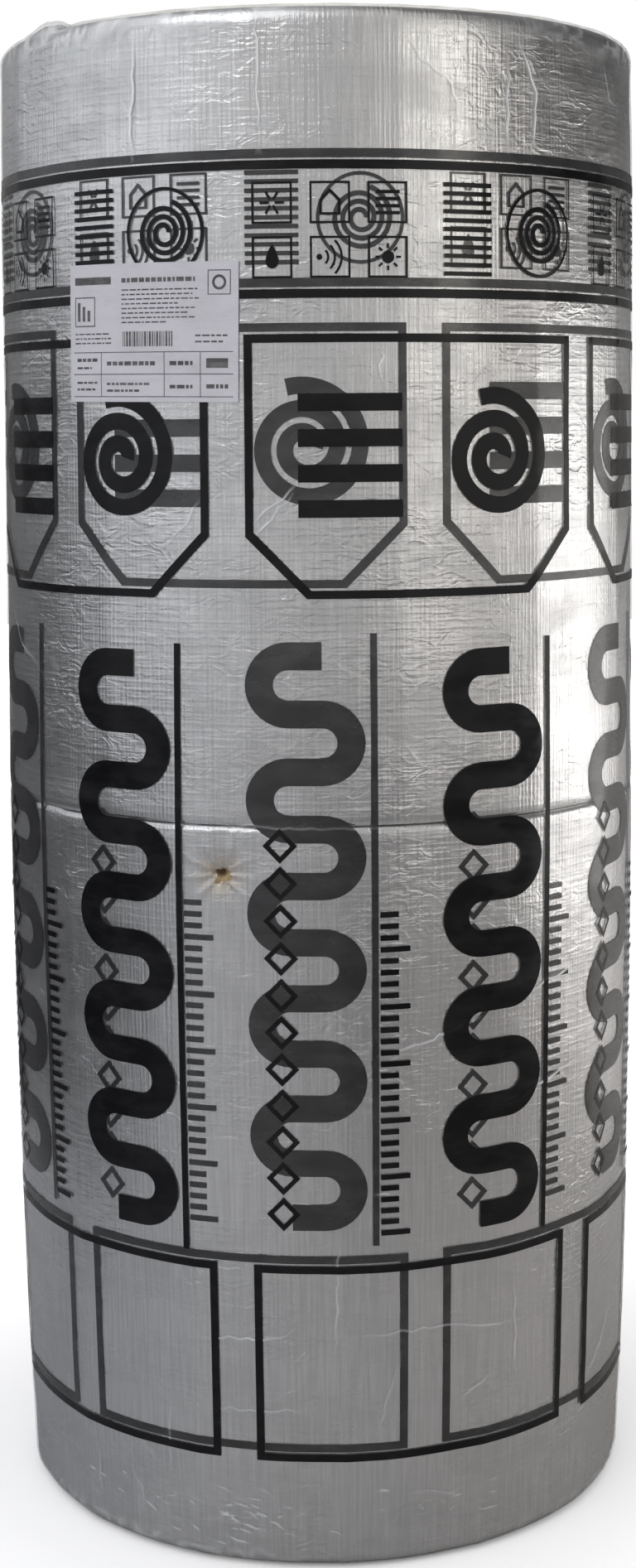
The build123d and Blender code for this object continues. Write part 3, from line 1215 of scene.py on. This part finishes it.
black = (0.008, 0.008, 0.009)
film_ink, tree, shader = new_material("film_ink", black, 0.30, Specular_IOR_Level=0.25)
rubbed = place_group(tree, scuffs, Size=40.0, Amount=0.8)
paint(tree, shader, rubbed.outputs["Mask"], (0.004, 0.004, 0.005, 1), (0.012, 0.012, 0.013, 1))
worn = calc(tree, "MULTIPLY_ADD", rubbed.outputs["Mask"], 0.25, 0.18)
tree.links.new(worn, shader.inputs["Roughness"])
print("film materials:", inner_film.name, outer_film.name, film_ink.name)

# %% Sheets with print
def lay_out(own_outlines, shapes, step):
    """Outlines of a sheet and its print, and the shape of each outline, -1 for the sheet's own."""
    outlines, shape_of = list(own_outlines), [-1] * len(own_outlines)
    for number, shape in enumerate(shapes):
        outlines += [dense(outline, step) for outline in shape]
        shape_of += [number] * len(shape)
    return outlines, shape_of


def is_inked(owner, shape_of):
    """Whether a triangle lies in an odd number of outlines of any one shape."""
    shapes = [shape_of[outline] for outline in owner if shape_of[outline] >= 0]
    return any(shapes.count(shape) % 2 for shape in shapes)


def sheet_piece(name, skin, out, flat, triangles, material):
    """A piece of some triangles of a sheet, and the points that it uses.
    The skin is arc, height, inward step and tilt of every point."""
    used, places = np.unique(triangles, return_inverse=True)
    points = wrap(*(row[used] for row in skin), out[used])
    return make_piece(name, points, places.reshape(-1, 3), flat[triangles], [material]), used


# %% Flat cut of one turn of film
def cut_film(first_arc, raised, lap):
    """Flat points and triangles of one turn of the web, and the numbers of the inked triangles."""
    left, right = -half_girth, half_girth + lap
    stations = np.linspace(left, right, round((right - left) / border_step) + 1)
    top_edge = pairs(stations, film_top + mouth_edge(stations, top_mouth))
    foot_edge = pairs(stations, film_foot - mouth_edge(stations, foot_mouth))
    border = np.concatenate([
        foot_edge, dense([foot_edge[-1], top_edge[-1]], border_step, closed=False)[1:-1],
        top_edge[::-1], dense([top_edge[0], foot_edge[0]], border_step, closed=False)[1:-1],
    ])
    hole = dense(ragged(puncture_arc, puncture_height - 1.0, torn_radius + 1.0, torn_seed), 2.5)
    shapes = web_print(first_arc, raised, left, right)
    outlines, shape_of = lay_out([border, hole], shapes, border_step)
    lines = []
    for _, fold in folds:
        for shift in (-fold_width, 0, fold_width):
            lines.append(dense(beside(fold, shift), 4.0, closed=False))
    lines += [top_edge[1:-1] - (0, edge_band), foot_edge[1:-1] + (0, edge_band)]
    bands = [
        (film_foot + rim_band, film_top - rim_band, film_step),
        (film_foot, film_foot + rim_band, rim_step),
        (film_top - rim_band, film_top, rim_step),
        (film_top, film_top + lip + 12, lip_step),
        (film_foot - lip - 12, film_foot, lip_step),
    ]
    loose = np.concatenate([honeycomb(left, right, *band) for band in bands])
    within = (loose[:, 0] > left + 2) & (loose[:, 0] < right - 2)
    within &= loose[:, 1] < film_top + mouth_edge(loose[:, 0], top_mouth) - 2
    within &= loose[:, 1] > film_foot - mouth_edge(loose[:, 0], foot_mouth) + 2
    loose = finer_star(loose[within], star_step + 0.6)
    flat, triangles, owners = triangulate(outlines, lines, loose, 1.9)
    keep = [index for index, owner in enumerate(owners) if 0 in owner and 1 not in owner]
    inked = [place for place, index in enumerate(keep) if is_inked(owners[index], shape_of)]
    return flat, triangles[keep], inked


# %% Ridges and haze of the film
def fold_ridges(flat):
    """Share of a full fold at each flat point, over all folds."""
    ridge = np.zeros(len(flat))
    for depth, fold in folds:
        reach = np.ptp(fold, axis=0) / 2 + 12
        near = np.flatnonzero((np.abs(flat - fold.mean(axis=0)) < reach).all(axis=1))
        ridge[near] = np.maximum(ridge[near], fold_ridge(flat[near], fold, depth))
    return ridge


def film_haze(flat, height, inward, tilt, ridge):
    """How white the film is: at its folds, past the rim, along its edges and on the rubbed rim."""
    arc, along = flat.T
    past_rim = np.clip(inward / rim_round, 0, 1)
    past_top = along - film_top - mouth_edge(arc, top_mouth)
    past_foot = film_foot - mouth_edge(arc, foot_mouth) - along
    mouth = np.maximum(past_top, past_foot)
    lip_haze = 0.10 * past_rim * (1 + drift(arc, along, 70, 12, 30))
    haze = np.maximum(ridge * (1 - 0.4 * past_rim), lip_haze)
    haze = np.maximum(haze, 0.6 * np.clip(1 + mouth / edge_band, 0, 1))
    turning = by_rim(height) * np.clip(1.6 - np.abs(tilt), 0, 1)
    upright, level = crinkles(arc, along, 75, 10, 17), crinkles(arc, along, 77, 30, 8)
    crinkled_rim = np.maximum(upright, 0.8 * level)
    rubbed_rim = np.clip(0.45 + 0.9 * drift(arc, 0 * arc, 79, 150, 100), 0.12, 1)
    return np.maximum(haze, 0.6 * turning * crinkled_rim * rubbed_rim)


# %% One turn of film with its print
ridge_height, ink_gap = 0.55, 0.12
free_edge_lift, free_edge_reach = 0.9, 14.0


def film_turn(layer, film_name, print_name, film_material, first_arc, raised, lap):
    """Make one turn of the web: the clear film, and its ink as a second piece that lies on it."""
    flat, triangles, inked = cut_film(first_arc, raised, lap)
    height, inward, tilt = skin_line(flat[:, 1], roll_foot, roll_top, rim_round, rim_round)
    skin = flat[:, 0], height, inward, tilt
    ridge = fold_ridges(flat)
    out = film_out(*skin, layer) + ridge_height * ridge
    if lap:
        to_edge = flat[:, 0] - half_girth - lap + free_edge_reach
        out = out + free_edge_lift * np.clip(to_edge / free_edge_reach, 0, 1)
    film, used = sheet_piece(film_name, skin, out, flat, triangles, film_material)
    mark = film.data.attributes.new("fold", "FLOAT", "POINT")
    haze = film_haze(flat, height, inward, tilt, ridge)
    mark.data.foreach_set("value", haze[used].astype(np.float32))
    ink, _ = sheet_piece(print_name, skin, out + ink_gap, flat, triangles[inked], film_ink)
    print(film_name, "triangles:", len(triangles), "inked:", len(inked))
    return film, ink


frame_start = -55.0
print_slip = 8.0
film_inner, print_inner = film_turn(
    0, "film_inner_turn", "film_print_inner", inner_film, frame_start - repeat / 2, print_slip, 0.0
)
film_outer, print_outer = film_turn(
    1, "film_outer_turn", "film_print_outer", outer_film, frame_start, 0.0, film_lap
)
for film, ink, length, rests in (
    (film_inner, print_inner, 2 * half_girth, [lower_roll, upper_roll]),
    (film_outer, print_outer, 2 * half_girth + film_lap, [film_inner]),
):
    for piece, slot in ((film, "clear_film"), (ink, "film_ink")):
        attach(piece, "root")
        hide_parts("wrap_film")

# %% [markdown]
# ## The label
# The label is a plain paper sticker on the film. Its rules and grey bars stand for a printed table
# without words. It is cut flat like the film and laid on the film's own relief, a hair above it.

# %% Rules and bars of the label
label_width, label_height = 152.0, 102.0
label_arc, label_rise, label_turn = -134.5, 969.0, math.radians(-0.8)
label_step = 4.0
label_gap, label_ink_gap = 0.45, 0.1


def words(left, right, low, high, seed):
    """A line of dashes of uneven length, like a line of small print seen from afar."""
    rng = np.random.default_rng(seed)
    dashes, place = [], left
    while place < right - 1.5:
        length = min(rng.uniform(1.8, 6.5), right - place)
        dashes.append(box(place, place + length, low, high))
        place += length + 1.2
    return dashes


def label_lines():
    """Rules, boxes and bars of the label, from its lower left corner."""
    shapes = [[box(4, 148, 36.5, 37.1)], [box(4, 148, 20.2, 20.8)], [box(4, 148, 3.6, 4.2)]]
    shapes += [[box(x, x + 0.6, 4.2, 36.5)] for x in (34, 92, 122)]
    shapes += [[box(6, 44, 87, 92.5)], words(54, 118, 88, 91.2, 81)]
    shapes += [frame_of(128, 146, 78, 96, 0.7), [disc(137, 87, 5.5, 24), disc(137, 87, 3.6, 24)]]
    ends = (120, 116, 121, 104, 118, 112, 120, 94)
    shapes += [words(54, end, 82 - 3.4 * k, 83 - 3.4 * k, 82 + k) for k, end in enumerate(ends)]
    shapes.append(frame_of(6, 28, 56, 78, 0.8))
    shapes.append([box(9 + 5.4 * k, 12 + 5.4 * k, 60, 74 - 3 * k) for k in range(3)])
    shapes += [words(6, 44, 50 - 3.4 * k, 51 - 3.4 * k, 91 + k) for k in range(3)]
    widths = np.random.default_rng(94).choice([0.6, 1.1, 1.7], 22)
    starts = 54 + np.cumsum(widths + 1.0) - widths
    shapes.append([box(x, x + width, 41, 52) for x, width in zip(starts, widths)])
    cells = [
        (118, 146, 48, 49.2), (118, 140, 43.5, 44.7), (8, 30, 30, 32.4), (8, 24, 24.5, 26),
        (40, 86, 27, 30), (97, 117, 27, 30), (8, 30, 13.5, 15), (8, 28, 8.5, 10),
        (40, 80, 12.5, 14.2), (40, 70, 7.5, 9.2), (97, 116, 10, 12.6), (127, 144, 10, 13),
    ]
    filled = [words(*cell, 95 + k) for k, cell in enumerate(cells)]
    return shapes + filled[:6] + [[box(127, 144, 25, 32)]] + filled[6:]


# %% Paper and ink of the label
label_paper, tree, shader = new_material("label_paper", (0.57, 0.56, 0.61), 0.55)
rubbed = place_group(tree, scuffs, Size=50.0, Amount=0.7)
paint(tree, shader, rubbed.outputs["Mask"], (0.60, 0.59, 0.64, 1), (0.50, 0.49, 0.53, 1))
bump(tree, shader, grain(tree, 700.0), 0.0002)
label_ink, tree, shader = new_material("label_ink", (0.08, 0.08, 0.09), 0.6)
rubbed = place_group(tree, scuffs, Size=120.0, Amount=0.8)
paint(tree, shader, rubbed.outputs["Mask"], (0.07, 0.07, 0.075, 1), (0.19, 0.19, 0.20, 1))
print("label materials:", label_paper.name, label_ink.name)

# %% Label
border = dense(box(0, label_width, 0, label_height), label_step)
outlines, shape_of = lay_out([border], label_lines(), label_step)
loose = honeycomb(2, label_width - 2, 2, label_height - 2, label_step)
flat, triangles, owners = triangulate(outlines, [], loose, 1.2)
keep = [index for index, owner in enumerate(owners) if 0 in owner]
inked = [place for place, index in enumerate(keep) if is_inked(owners[index], shape_of)]
triangles = triangles[keep]
across, up = flat[:, 0] - label_width / 2, flat[:, 1] - label_height / 2
arc = label_arc + across * math.cos(label_turn) - up * math.sin(label_turn)
height = label_rise + across * math.sin(label_turn) + up * math.cos(label_turn)
level = np.zeros_like(arc)
skin = arc, height, level, level
out = film_out(*skin, 1) + label_gap
sticker, _ = sheet_piece("label_sheet", skin, out, flat, triangles, label_paper)
printed = triangles[inked]
label_print, _ = sheet_piece("label_print", skin, out + label_ink_gap, flat, printed, label_ink)
for piece, slot in ((sticker, "label_paper"), (label_print, "label_ink")):
    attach(piece, "root")
    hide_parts("paper_label")
print("label triangles:", len(triangles), "inked:", len(inked))
